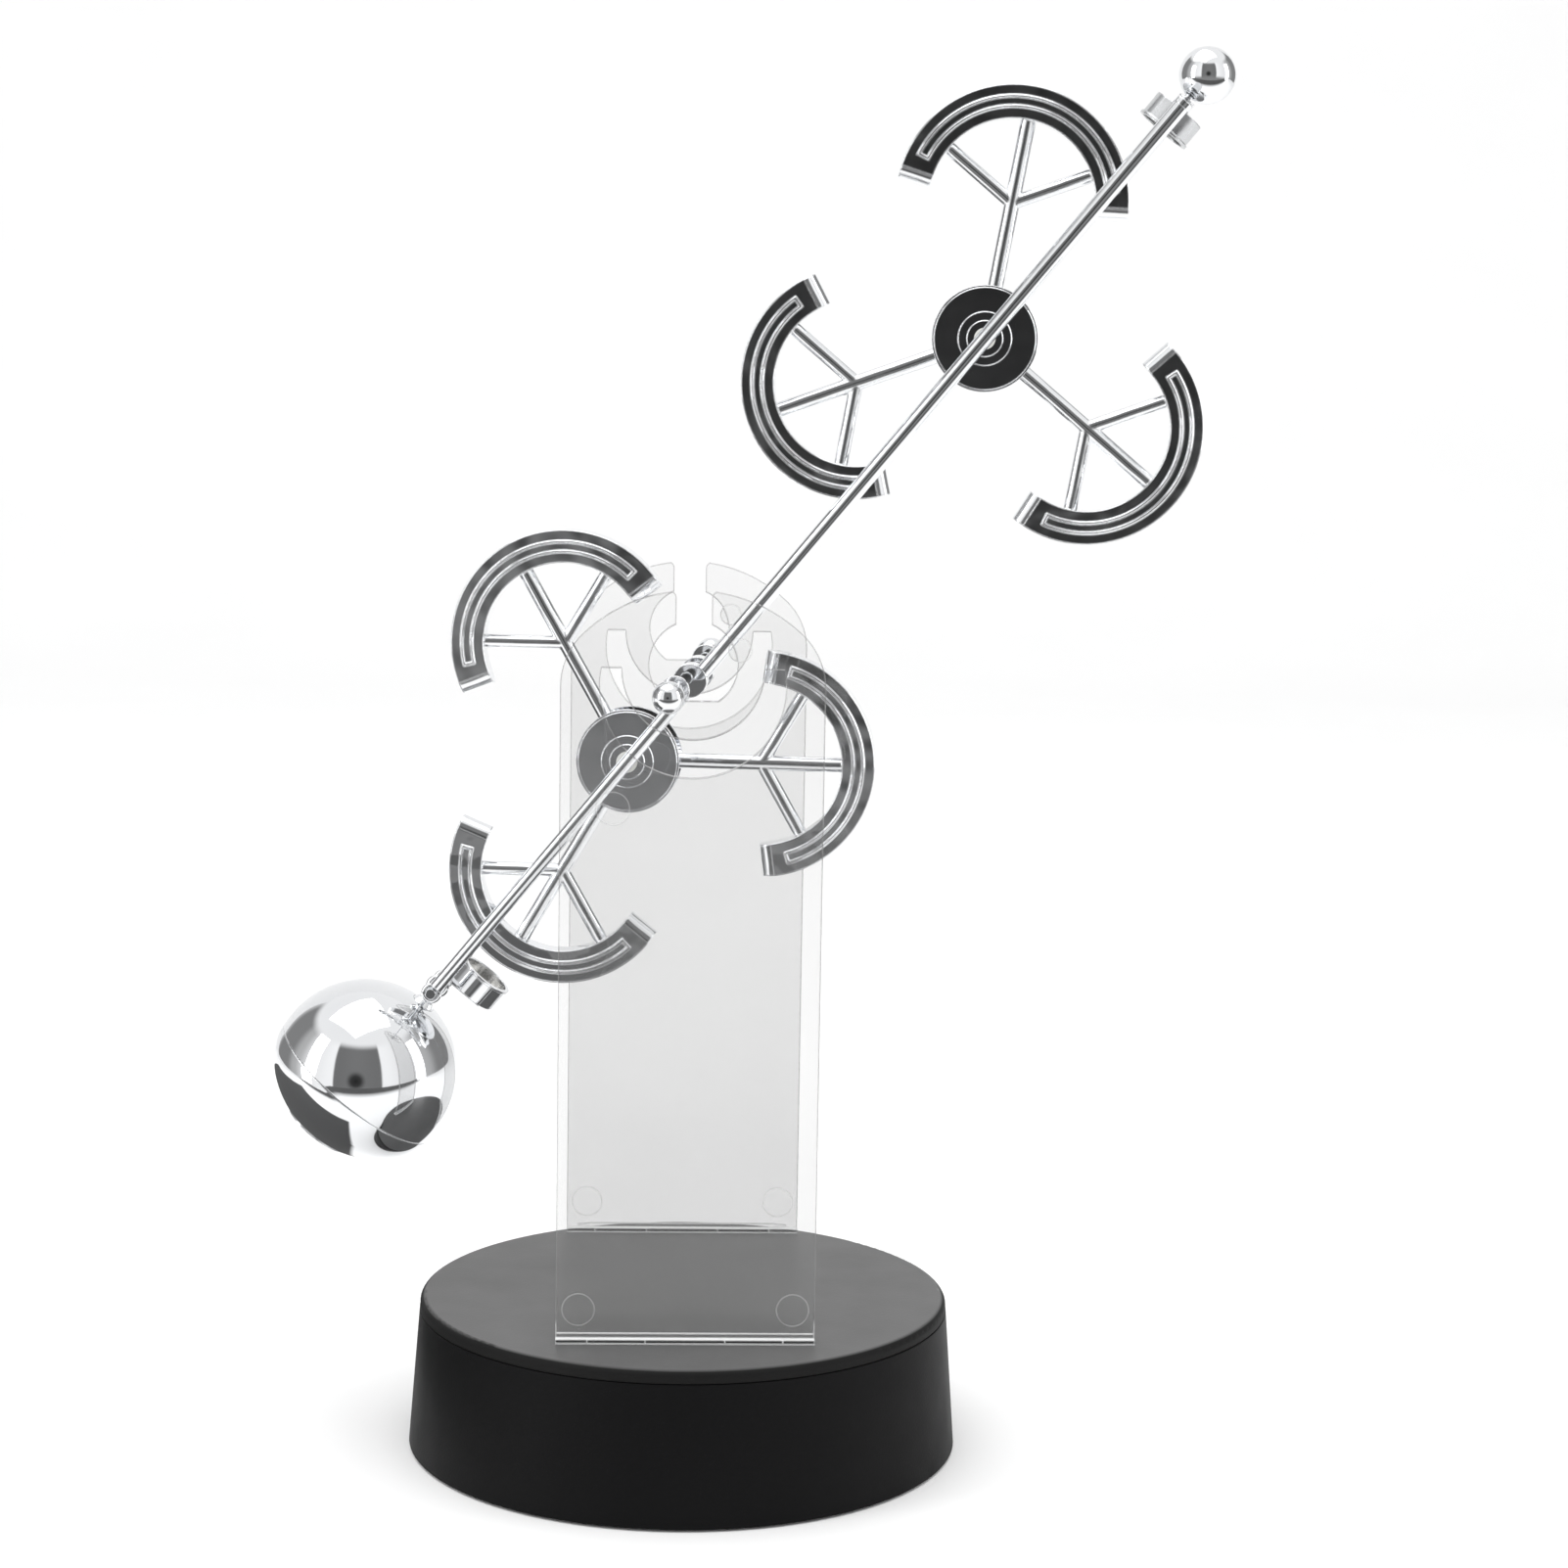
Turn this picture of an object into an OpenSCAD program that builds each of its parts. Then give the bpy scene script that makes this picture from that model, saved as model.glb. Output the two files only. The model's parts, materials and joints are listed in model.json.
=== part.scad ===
// Battery-driven desk toy: a pendulum that carries two free-spinning rotors between clear uprights.
// The origin is under the centre of the base, +Z is up, -Y faces the viewer, lengths are millimetres.

/* [Base] */
// Diameter of the base where it meets the table
base_d = 100; // [99:0.5:104]
// Diameter of the base at its top edge
base_top_d = 96; // [95:0.5:97]
// Height of the top of the base above the table
base_h = 27.6; // [27.5:0.1:29]
// Thickness of the base wall and top
wall = 2.2; // [1.8:0.1:2.4]

/* [Uprights] */
// Width of each clear upright
upright_w = 45; // [44:0.5:48]
// Height of each upright above the base
upright_h = 131; // [130:0.5:133]
// Thickness of each upright
upright_t = 2; // [1.6:0.1:2.4]
// Clear gap between the two uprights
upright_gap = 70; // [68:0.5:72]
// How far the middle of that gap sits behind the centre of the base
gap_shift = 5; // [4:0.25:6]

/* [Pivot] */
// Height of the axle above the table
pivot_h = 140.8; // [140.4:0.1:141.4]
// Diameter of the two axle pins
axle_d = 2; // [1.8:0.1:2.2]
// Angle at which the loose axle lies across its two seats
axle_skew = 5.9; // [0:0.1:6]
// Tilt of the pendulum away from upright
swing_tilt = 39.2; // [-60:0.1:60]

/* [Pendulum] */
// Distance between the centre lines of the front and rear rods
rod_gap = 13.2; // [13:0.1:14]
// Diameter of the rods above the axle
rod_upper_d = 2.9; // [2.7:0.1:3]
// Diameter of the rods below the axle
rod_lower_d = 2.5; // [2.3:0.1:2.6]
// Distance of the rods to one side of the axle
rod_side = 1.5; // [1.2:0.1:1.7]
// Distance from the axle up to the centre of the top ball
top_reach = 139; // [138:0.5:141]
// Distance from the axle down to the centre of the drive ball
ball_reach = 96; // [95:0.25:96.5]
// Diameter of the drive ball
ball_d = 34.6; // [34:0.1:34.8]
// Diameter of the top ball
top_ball_d = 10; // [9:0.5:11]
// Diameter of the balls on the axle ends
axle_ball_d = 5.6; // [5:0.1:6]

/* [Rotors] */
// Distance from the axle up to the upper rotor
upper_hub = 79.5; // [79:0.5:80]
// Distance from the axle down to the lower rotor
lower_hub = 19.2; // [19:0.1:19.5]
// Turn of the upper rotor
upper_turn = -0.8; // [-180:0.1:180]
// Turn of the lower rotor
lower_turn = 38.9; // [-180:0.1:180]
// Diameter of the hub discs
hub_d = 18.7; // [18:0.1:19]
// Distance from the hub centre to the point where an arm branches
branch_r = 24; // [23.5:0.1:24.2]
// Outer radius of a crescent about its branch point
crescent_r = 20.5; // [20:0.1:20.5]
// Radial width of a crescent
crescent_w = 5.9; // [5.5:0.1:6.2]
// Thickness of a crescent
crescent_t = 4.6; // [4.2:0.1:4.8]
// Diameter of the arms; the side spokes are slightly thinner
spoke_d = 2.8; // [2.4:0.1:3]

/* [Hidden] */
$fn = 96;

// Clearances
press = 0.02;
running = 0.05;
loose = 0.3;

// Base
foot_proud = 0.5;
foot_r = 3.6;
foot_t = 1.6;
foot_place_r = 42.4;
foot_angles = [30, 150, 210, 330];
cover_z = foot_proud + 0.4;
cover_t = 2;
cover_top_z = cover_z + cover_t;
ceiling_z = base_h - wall;
rim_round = 1.2;
parting_gap = 0.15;
skirt_t = 1.4;
skirt_h = 3;
ledge_w = 1.6;
ledge_t = 1.4;
screw_place_r = 41;
boss_r = 3;
screw_d = 2.4;
screw_head_d = 4.6;
screw_head_t = 1.4;
screw_l = 8;
screw_sink = 1;
cross_l = 2.8;
cross_w = 0.6;

// Battery bay: four cells side by side under the coil
cell_d = 14.2;
cell_pitch = 14.5;
cell_l = 50.5;
cell_nub_l = 1.3;
cell_nub_d = 5.5;
cell_band_l = 9;
cells = 4;
bay_x = cells * cell_pitch + 0.6;
bay_y = 58;
bay_wall = 1.2;
bay_flange = 1;
door_t = 1.6;
door_x = bay_x + 4.4;
door_y = bay_y + 4;
door_lug_w = 9;
door_lug_y = 5;
door_screw_y = -door_y / 2 - 2.2;
bay_floor_z = cover_z + door_t + 0.1;
cell_z = bay_floor_z + 0.2 + cell_d / 2;
bay_roof_z = cell_z + cell_d / 2 + 0.3;
bay_top_z = bay_roof_z + bay_wall;
contact_t = 0.4;
contact_half_h = 5;
spring_turns = 3.5;
spring_steps = 42;
spring_sides = 6;
spring_wire_r = 0.4;
spring_wide_r = 4.6;
spring_narrow_r = 2.4;
spring_l = bay_y - 2 * contact_t - 2 * running - cell_l - 0.3;
lead_r = 0.55;
lead_x = bay_x / 2 - 6;
lead_z = cell_z + 4;
wire_sides = 12;

// Coil and circuit board, on the roof of the battery bay
coil_r = 17;
coil_core_r = 6;
coil_z = bay_top_z + 0.1;
coil_h = ceiling_z - coil_z - 0.2;
flange_t = 0.8;
board_x = 40;
board_y = 14;
board_t = 1.2;
board_mid_y = -21.8;
board_z = bay_top_z + 1.2;
board_hole_x = 17;
board_screw_d = 1.5;
board_top_z = board_z + board_t;

// Uprights
upright_top_z = base_h + upright_h;
arch_h = 16.5;
arch_shoulder_r = 12.5;
seat_z = pivot_h - axle_d / 2 - running;
keyhole_r = 7.5;
keyhole_z = seat_z + 6.15;
slot_w = 6;
lip_r = 1.2;
window_out_r = 15.8;
window_out_z = seat_z + 2.6;
window_in_r = 12.2;
window_cut_z = seat_z + 5.5;
foot_flange_h = 0.9;
foot_flange_y = upright_t + 2.4;
tab_w = 10;
tab_x = 12;
tab_drop = 5;
tab_play = 0.15;
mark_t = 0.15;
mark_large_r = 2.9;
mark_small_r = 2;
front_upright_y = gap_shift - upright_gap / 2 - upright_t;
rear_upright_y = gap_shift + upright_gap / 2;

// Pendulum, in its own frame: X to the side of the rods, Y along the axle, Z up the rods
block_r = 3;
block_half_l = 2.2;
block_side = 0.75;
axle_ball_u = upright_gap / 2 + upright_t + 4;
collar_r = 2.5;
collar_t = 1.2;
collar_u = upright_gap / 2 - 6;
rod_start = axle_d / 2 + 0.3;
yoke_s = top_reach - 7.6;
yoke_t = 1.2;
rod_top_s = yoke_s + yoke_t / 2;
link_s = 74.6;
eye_ring_r = 1.35;
eye_wire_r = 0.55;
link_pin_r = 0.75;
hook_r = 1.5;
stem_r = 0.95;
rotor_pin_r = 0.8;
rotor_pin_half_l = rod_gap / 2 + 0.7;
cup_r = 4.85;
cup_h = 4.5;
cup_wall = 0.5;
cup_magnet_h = 2.6;
upper_cup_s = top_reach - 9.9;
upper_cup_side = 0.2;
neck_r = 0.8;
bead_small_r = 1.25;
bead_small_h = 0.7;
bead_large_r = 1.7;
bead_large_h = 0.35;
lower_cup_s = 69.1;
lower_cup_side = 5.5;
bracket_t = 0.8;

// Drive ball
ball_r = ball_d / 2;
ball_skin = 1.4;
seam_drop = 2;
seam_gap = 0.1;
ball_flat = 14.7;
ball_shoulder_r = 9;
ball_magnet_r = 6;
ball_magnet_h = 4;
magnet_lift = 1.15;

// Rotors
crescent_span = 82;
crescent_mid_r = crescent_r - crescent_w / 2;
spoke_end_r = crescent_r - crescent_w + 0.85;
hub_core_r = 5.2;
hub_half_l = 4.6;
disc_back = 2.6;
disc_face = 3.8;
disc_ring_r = 4.7;
disc_boss_r = 3.15;
loop_w = 2.2;
loop_line = 0.45;
loop_h = 0.3;
loop_span = 74;
end_step = 0.05;
rotor_magnet_r = 1.5;
rotor_magnet_h = 2.4;
washer_r = 1.9;
washer_t = 0.4;

// ---------------------------------------------------------------- outlines and helpers

// Flat-bottomed arch of three arcs, its springing line on the X axis
module arch(half_w, h, shoulder_r) {
    dx = half_w - shoulder_r;
    rise = h - shoulder_r;
    drop = (dx * dx - rise * rise) / (2 * rise);
    crown_r = h + drop;
    reach = 2 * crown_r;
    lean = atan2(drop, dx);
    intersection() {
        translate([0, -drop])
            circle(r = crown_r);
        polygon([[0, -drop], [reach * cos(lean), reach * sin(lean) - drop],
            [-reach * cos(lean), reach * sin(lean) - drop]]);
    }
    intersection() {
        for (side = [-1, 1])
            translate([side * dx, 0])
                circle(r = shoulder_r);
        translate([-half_w, 0])
            square([2 * half_w, h]);
    }
}

// Ring sector about the X axis with square ends
module arc_band(mid_r, w, span) {
    far = 3 * mid_r;
    intersection() {
        difference() {
            circle(r = mid_r + w / 2);
            circle(r = mid_r - w / 2);
        }
        polygon([[0, 0], [far * cos(span), -far * sin(span)], [far, -far], [far, far],
            [far * cos(span), far * sin(span)]]);
    }
}

// Cylinder along +Y from y0 to y1
module rod_y(r, y0, y1) {
    translate([0, y0, 0])
        rotate([-90, 0, 0])
            cylinder(r = r, h = y1 - y0);
}

// Length of wire with round ends between two points
module wire(p, q, r) {
    run = q - p;
    length = norm(run);
    translate(p) {
        sphere(r = r, $fn = wire_sides);
        rotate([0, acos(run[2] / length), atan2(run[1], run[0])])
            cylinder(r = r, h = length, $fn = wire_sides);
    }
    translate(q)
        sphere(r = r, $fn = wire_sides);
}

module at_cover_screws() {
    for (turn = [0 : 90 : 270])
        rotate(turn)
            translate([screw_place_r, 0, 0])
                children();
}

module at_feet() {
    for (turn = foot_angles)
        rotate(turn)
            translate([foot_place_r, 0, 0])
                children();
}

// Cross-head screw that points up, its head sunk in the bottom cover
module screw() {
    translate([0, 0, cover_z + screw_sink - screw_head_t]) {
        difference() {
            cylinder(d = screw_head_d, h = screw_head_t);
            for (turn = [0, 90])
                rotate(turn)
                    translate([-cross_l / 2, -cross_w / 2, -1])
                        cube([cross_l, cross_w, 1.7]);
        }
        cylinder(d = screw_d, h = screw_l);
    }
}

// ---------------------------------------------------------------- base

module base_top() {
    r = base_top_d / 2;
    skirt_r = r - 3.2;
    color("#26272a") {
        difference() {
            union() {
                rotate_extrude() {
                    translate([0, ceiling_z])
                        square([r - rim_round, wall]);
                    translate([0, ceiling_z])
                        square([r, wall - rim_round]);
                    translate([r - rim_round, base_h - rim_round])
                        intersection() {
                            circle(r = rim_round);
                            square(rim_round);
                        }
                }
                rotate_extrude()
                    translate([skirt_r - skirt_t, ceiling_z - skirt_h])
                        square([skirt_t, skirt_h + 1]);
            }
            for (y = [front_upright_y, rear_upright_y], side = [-1, 1])
                translate([side * tab_x - tab_w / 2 - tab_play, y - tab_play, base_h - tab_drop - 1])
                    cube([tab_w + 2 * tab_play, upright_t + 2 * tab_play, tab_drop + 2]);
        }
        at_cover_screws()
            difference() {
                translate([0, 0, cover_top_z + running])
                    cylinder(r = boss_r, h = ceiling_z - cover_top_z + 0.2);
                translate([0, 0, cover_top_z - 1])
                    cylinder(d = screw_d + press, h = screw_l + 2);
            }
    }
}

module base_wall() {
    top_z = ceiling_z - parting_gap;
    top_r = base_top_d / 2 + 0.1;
    bottom_r = base_d / 2;
    color("#26272a")
        difference() {
            translate([0, 0, foot_proud])
                cylinder(r1 = bottom_r, r2 = top_r, h = top_z - foot_proud);
            difference() {
                translate([0, 0, foot_proud - 0.1])
                    cylinder(r1 = bottom_r - wall, r2 = top_r - wall, h = top_z - foot_proud + 0.2);
                translate([0, 0, cover_top_z + running])
                    difference() {
                        cylinder(r = bottom_r, h = ledge_t);
                        translate([0, 0, -1])
                            cylinder(r = bottom_r - wall - ledge_w, h = ledge_t + 2);
                    }
            }
        }
}

module door_outline(grow) {
    translate([-door_x / 2 - grow, -door_y / 2 - grow])
        square([door_x + 2 * grow, door_y + 2 * grow]);
    translate([-door_lug_w / 2 - grow, -door_y / 2 - door_lug_y - grow])
        square([door_lug_w + 2 * grow, door_lug_y + 1]);
}

module bottom_cover() {
    bay_out_x = bay_x + 2 * bay_wall;
    bay_out_y = bay_y + 2 * bay_wall;
    color("#1d1e20")
        difference() {
            union() {
                translate([0, 0, cover_z])
                    cylinder(r = base_d / 2 - wall - 0.4, h = cover_t);
                translate([-bay_out_x / 2, -bay_out_y / 2, bay_floor_z])
                    cube([bay_out_x, bay_out_y, bay_top_z - bay_floor_z]);
                translate([-door_x / 2 - bay_flange, -door_y / 2 - bay_flange, bay_floor_z])
                    cube([door_x + 2 * bay_flange, door_y + 2 * bay_flange, bay_wall]);
                translate([0, door_screw_y, bay_floor_z])
                    cylinder(r = 2.4, h = 6);
                for (side = [-1, 1])
                    translate([side * board_hole_x, board_mid_y, bay_top_z - 0.5])
                        cylinder(r = 1.9, h = board_z - bay_top_z + 0.5);
            }
            translate([0, 0, cover_z - 1])
                linear_extrude(bay_floor_z - cover_z + 1)
                    door_outline(loose);
            translate([-bay_x / 2, -bay_y / 2, cover_z - 1])
                cube([bay_x, bay_y, bay_roof_z - cover_z + 1]);
            translate([0, door_screw_y, cover_z])
                cylinder(d = screw_d + 0.2, h = 6.4);
            at_cover_screws() {
                translate([0, 0, cover_z - 1])
                    cylinder(d = screw_d + 0.4, h = cover_t + 2);
                translate([0, 0, cover_z - 1])
                    cylinder(d = screw_head_d + 0.4, h = 1 + screw_sink);
            }
            at_feet()
                translate([0, 0, cover_z - 1])
                    cylinder(r = foot_r + press, h = foot_t - cover_z + 1);
            for (side = [-1, 1])
                translate([side * board_hole_x, board_mid_y, bay_roof_z + 0.3])
                    cylinder(d = board_screw_d + 0.1, h = 4);
            for (side = [-1, 1])
                translate([side * lead_x - 1, -bay_y / 2 - bay_wall - 1, lead_z - 1])
                    cube([2, bay_wall + 2, 2]);
        }
}

module cover_screws() {
    color("silver")
        at_cover_screws()
            screw();
}

module rubber_feet() {
    color("#303030")
        at_feet()
            difference() {
                cylinder(r = foot_r, h = foot_t);
                translate([0, 0, -1])
                    cylinder(r = 1, h = 1.5);
            }
}

module battery_door() {
    color("#1d1e20")
        difference() {
            translate([0, 0, cover_z])
                linear_extrude(door_t)
                    door_outline(0);
            translate([0, door_screw_y, cover_z - 1])
                cylinder(d = screw_d + press, h = door_t + 2);
            for (row = [-2 : 2])
                translate([-9, door_y / 2 - 12 + row * 2, cover_z - 0.5])
                    cube([18, 0.8, 0.9]);
        }
}

module door_screw() {
    color("silver")
        translate([0, door_screw_y, cover_z - 0.6])
            difference() {
                union() {
                    cylinder(d = 4, h = 0.6);
                    cylinder(d = screw_d, h = 6);
                }
                translate([-1.2, -0.3, -1])
                    cube([2.4, 0.6, 1.4]);
            }
}

// ---------------------------------------------------------------- inside the base

function cell_x(i) = (i - (cells - 1) / 2) * cell_pitch;
function cell_way(i) = i % 2 == 0 ? 1 : -1;

// Cell with its positive end towards +Y, or -Y when way is -1
module battery(i) {
    end_y = bay_y / 2 - contact_t - running;
    translate([cell_x(i), 0, cell_z])
        rotate([0, 0, cell_way(i) > 0 ? 0 : 180]) {
            color("#2f6b3c")
                rod_y(cell_d / 2, end_y - cell_l, end_y - cell_nub_l - cell_band_l);
            color("#b8862f")
                rod_y(cell_d / 2, end_y - cell_nub_l - cell_band_l, end_y - cell_nub_l);
            color("silver")
                rod_y(cell_nub_d / 2, end_y - cell_nub_l, end_y);
        }
}

module battery_1() { battery(0); }
module battery_2() { battery(1); }
module battery_3() { battery(2); }
module battery_4() { battery(3); }

// Ring of points around the wire of a tapering spring, at step k
function spring_ring(k) =
    let (part = k / spring_steps, turn = 360 * spring_turns * part, r = spring_wide_r + (spring_narrow_r - spring_wide_r) * part,
        along = spring_wire_r + (spring_l - 2 * spring_wire_r) * part)
    [for (s = [0 : spring_sides - 1])
        let (a = 360 * s / spring_sides, rr = r + spring_wire_r * cos(a))
        [rr * cos(turn), along + spring_wire_r * sin(a), rr * sin(turn)]];

module spring() {
    last = spring_steps * spring_sides;
    points = [for (k = [0 : spring_steps]) each spring_ring(k)];
    walls = [for (k = [0 : spring_steps - 1], s = [0 : spring_sides - 1])
        let (t = (s + 1) % spring_sides, a = k * spring_sides, b = a + spring_sides)
        each [[a + s, a + t, b + t], [a + s, b + t, b + s]]];
    start_cap = [for (s = [spring_sides - 1 : -1 : 0]) s];
    end_cap = [for (s = [0 : spring_sides - 1]) last + s];
    polyhedron(points, concat(walls, [start_cap, end_cap]));
}

module battery_springs() {
    color("silver")
        for (i = [0 : cells - 1])
            translate([cell_x(i), 0, cell_z])
                rotate([0, 0, cell_way(i) > 0 ? 0 : 180])
                    translate([0, -bay_y / 2 + contact_t + 0.1, 0])
                        spring();
}

// Strips at the ends of the bay: single ones at the two outer cells, shared ones between
module battery_contacts() {
    single = cell_pitch - 3;
    pair = 2 * cell_pitch - 3;
    color("silver") {
        for (end = [-1, 1])
            translate([0, end * (bay_y / 2 - contact_t / 2 - 0.02), cell_z]) {
                if (end < 0) {
                    for (i = [0, cells - 1])
                        translate([cell_x(i) - single / 2, -contact_t / 2, -contact_half_h])
                            cube([single, contact_t, 2 * contact_half_h]);
                    translate([-pair / 2, -contact_t / 2, -contact_half_h])
                        cube([pair, contact_t, 2 * contact_half_h]);
                }
                if (end > 0)
                    for (side = [-1, 1])
                        translate([side * cell_pitch - pair / 2, -contact_t / 2, -contact_half_h])
                            cube([pair, contact_t, 2 * contact_half_h]);
            }
    }
}

// Two insulated wires from the outer contacts, through the wall of the bay, up to the board
module battery_leads() {
    out_y = -bay_y / 2 - bay_wall - 1;
    pad_x = board_x / 2 - 1.2;
    pad_y = board_mid_y - board_y / 2 + 1.6;
    rise_z = board_top_z + 1.2;
    for (side = [-1, 1])
        color(side < 0 ? "firebrick" : "#151515") {
            wire([side * lead_x, -bay_y / 2 - lead_r, lead_z], [side * lead_x, out_y, lead_z], lead_r);
            wire([side * lead_x, out_y, lead_z], [side * lead_x, out_y, rise_z], lead_r);
            wire([side * lead_x, out_y, rise_z], [side * pad_x, pad_y, rise_z], lead_r);
            wire([side * pad_x, pad_y, rise_z], [side * pad_x, pad_y, board_top_z + lead_r], lead_r);
        }
}

module coil_bobbin() {
    color("ivory")
        translate([0, gap_shift, coil_z])
            rotate_extrude() {
                translate([coil_core_r - 1.2, 0])
                    square([1.2, coil_h]);
                for (z = [0, coil_h - flange_t])
                    translate([coil_core_r - 1.2, z])
                        square([coil_r - coil_core_r + 1.2, flange_t]);
            }
}

module coil_winding() {
    color("#b5622b")
        translate([0, gap_shift, coil_z])
            rotate_extrude()
                translate([coil_core_r + press, flange_t + press])
                    square([coil_r - coil_core_r - 1, coil_h - 2 * flange_t - 2 * press]);
}

module circuit_board() {
    color("#2e6e3a")
        difference() {
            translate([-board_x / 2, board_mid_y - board_y / 2, board_z + running])
                cube([board_x, board_y, board_t - running]);
            for (side = [-1, 1])
                translate([side * board_hole_x, board_mid_y, board_z - 1])
                    cylinder(d = 1.8, h = board_t + 2);
        }
}

module board_screws() {
    color("silver")
        for (side = [-1, 1])
            translate([side * board_hole_x, board_mid_y, 0]) {
                translate([0, 0, bay_roof_z + 0.6])
                    cylinder(d = board_screw_d, h = board_top_z - bay_roof_z);
                translate([0, 0, board_top_z + press])
                    difference() {
                        cylinder(d = 3, h = 1);
                        translate([-1, -0.2, 0.5])
                            cube([2, 0.4, 1]);
                    }
            }
}

// Flat-faced transistor that lies on its flat, with its three legs
module drive_transistor() {
    translate([-9, board_mid_y, board_top_z + press]) {
        color("#151515")
            intersection() {
                translate([0, 2.3, 1.1])
                    rotate([90, 0, 0])
                        cylinder(r = 2.4, h = 4.6);
                translate([-3, -3, 0])
                    cube([6, 6, 3.4]);
            }
        color("silver")
            for (side = [-1 : 1])
                translate([side * 1.27 - 0.25, -4.8, 0.6])
                    cube([0.5, 2.8, 0.4]);
    }
}

module capacitor() {
    r = 1.85;
    color("#27408b")
        translate([-1.5, board_mid_y, board_top_z + press + r])
            rotate([0, 90, 0])
                cylinder(r = r, h = 7);
    color("silver")
        for (side = [-1, 1])
            translate([-3.9, board_mid_y + side - 0.2, board_top_z + press + r - 0.2])
                cube([2.6, 0.4, 0.4]);
}

module resistor() {
    r = 1.1;
    translate([9.6, board_mid_y, board_top_z + press + r]) {
        color("#c9a66b")
            rod_y(r, -2.9, 2.9);
        color("silver")
            rod_y(0.3, -5, 5);
    }
}

// ---------------------------------------------------------------- uprights

// Face of an upright, X across and Y up from the table
module upright_outline() {
    spring_z = upright_top_z - arch_h;
    difference() {
        union() {
            translate([-upright_w / 2, base_h])
                square([upright_w, spring_z - base_h]);
            translate([0, spring_z])
                arch(upright_w / 2, arch_h, arch_shoulder_r);
        }
        intersection() {
            translate([0, keyhole_z])
                circle(r = keyhole_r);
            translate([-keyhole_r, seat_z])
                square([2 * keyhole_r, 3 * keyhole_r]);
        }
        translate([-slot_w / 2, keyhole_z])
            square([slot_w, upright_top_z]);
        for (side = [-1, 1])
            translate([side * slot_w / 2, upright_top_z - lip_r - 0.15])
                difference() {
                    translate([-lip_r, 0])
                        square([2 * lip_r, 2 * lip_r]);
                    translate([side * lip_r, 0])
                        circle(r = lip_r);
                    translate([side > 0 ? lip_r : -3 * lip_r, -lip_r])
                        square([2 * lip_r, 4 * lip_r]);
                }
        intersection() {
            difference() {
                translate([0, window_out_z])
                    circle(r = window_out_r);
                translate([0, window_cut_z])
                    circle(r = window_in_r);
            }
            translate([-upright_w / 2, seat_z - 2 * window_out_r])
                square([upright_w, window_cut_z - seat_z + 2 * window_out_r]);
        }
    }
}

// Upright whose rear face is at y + upright_t; the moulding marks are on its front face
module upright(y) {
    color("#dfe9ee", 0.35) {
        translate([0, y + upright_t, 0])
            rotate([90, 0, 0])
                linear_extrude(upright_t)
                    upright_outline();
        intersection() {
            translate([-upright_w / 2, y + upright_t / 2 - foot_flange_y / 2, base_h + press])
                cube([upright_w, foot_flange_y, foot_flange_h]);
            cylinder(r = base_top_d / 2 - rim_round, h = 2 * base_h);
        }
        for (side = [-1, 1])
            translate([side * tab_x - tab_w / 2, y, base_h - tab_drop])
                cube([tab_w, upright_t, tab_drop + 1]);
        for (mark = [[-18.6, base_h + 6, mark_large_r], [18.6, base_h + 6, mark_large_r],
                [-13.4, seat_z - 18.4, mark_large_r], [7.8, seat_z + 8.8, mark_small_r]])
            translate([mark[0], y, mark[1]])
                rotate([90, 0, 0])
                    cylinder(r = mark[2], h = mark_t);
    }
}

module front_upright() { upright(front_upright_y); }
module rear_upright() { upright(rear_upright_y); }

// ---------------------------------------------------------------- pendulum

module on_pendulum() {
    translate([0, gap_shift, pivot_h])
        rotate([0, 0, -axle_skew])
            rotate([0, swing_tilt, 0])
                children();
}

// The front of the pendulum is side -1 and the rear is side 1
module pivot_block(side) {
    u = side * rod_gap / 2;
    color("#c9ccd0")
        on_pendulum()
            difference() {
                translate([block_side, 0, 0])
                    rod_y(block_r, u - block_half_l, u + block_half_l);
                rod_y(axle_d / 2 + press, u - 5, u + 5);
                translate([rod_side, u, rod_start - 0.1])
                    cylinder(d = rod_upper_d + 2 * press, h = 2 * block_r);
                translate([rod_side, u, -rod_start + 0.1 - 2 * block_r])
                    cylinder(d = rod_lower_d + 2 * press, h = 2 * block_r);
            }
}

module axle_pin(side) {
    inner = rod_gap / 2 - block_half_l;
    outer = axle_ball_u + 1;
    color("#d5d8dc")
        on_pendulum()
            rotate([0, 0, side < 0 ? 180 : 0])
                rod_y(axle_d / 2, inner, outer);
}

module axle_collars() {
    color("#c9ccd0")
        on_pendulum()
            for (side = [-1, 1])
                rotate([0, 0, side < 0 ? 180 : 0])
                    difference() {
                        rod_y(collar_r, collar_u, collar_u + collar_t);
                        rod_y(axle_d / 2 + press, collar_u - 1, collar_u + 3);
                    }
}

module axle_ball(side) {
    color("#c9ccd0")
        on_pendulum()
            rotate([0, 0, side < 0 ? 180 : 0])
                difference() {
                    translate([0, axle_ball_u, 0])
                        sphere(d = axle_ball_d);
                    rod_y(axle_d / 2 + press, axle_ball_u - axle_ball_d, axle_ball_u + 1.05);
                }
}

module upper_rod(side) {
    u = side * rod_gap / 2;
    color("#c9ccd0")
        on_pendulum()
            difference() {
                translate([rod_side, u, rod_start])
                    cylinder(d = rod_upper_d, h = rod_top_s - rod_start);
                translate([rod_side, 0, upper_hub])
                    rod_y(rotor_pin_r + press, -rotor_pin_half_l - press, rotor_pin_half_l + press);
            }
}

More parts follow.
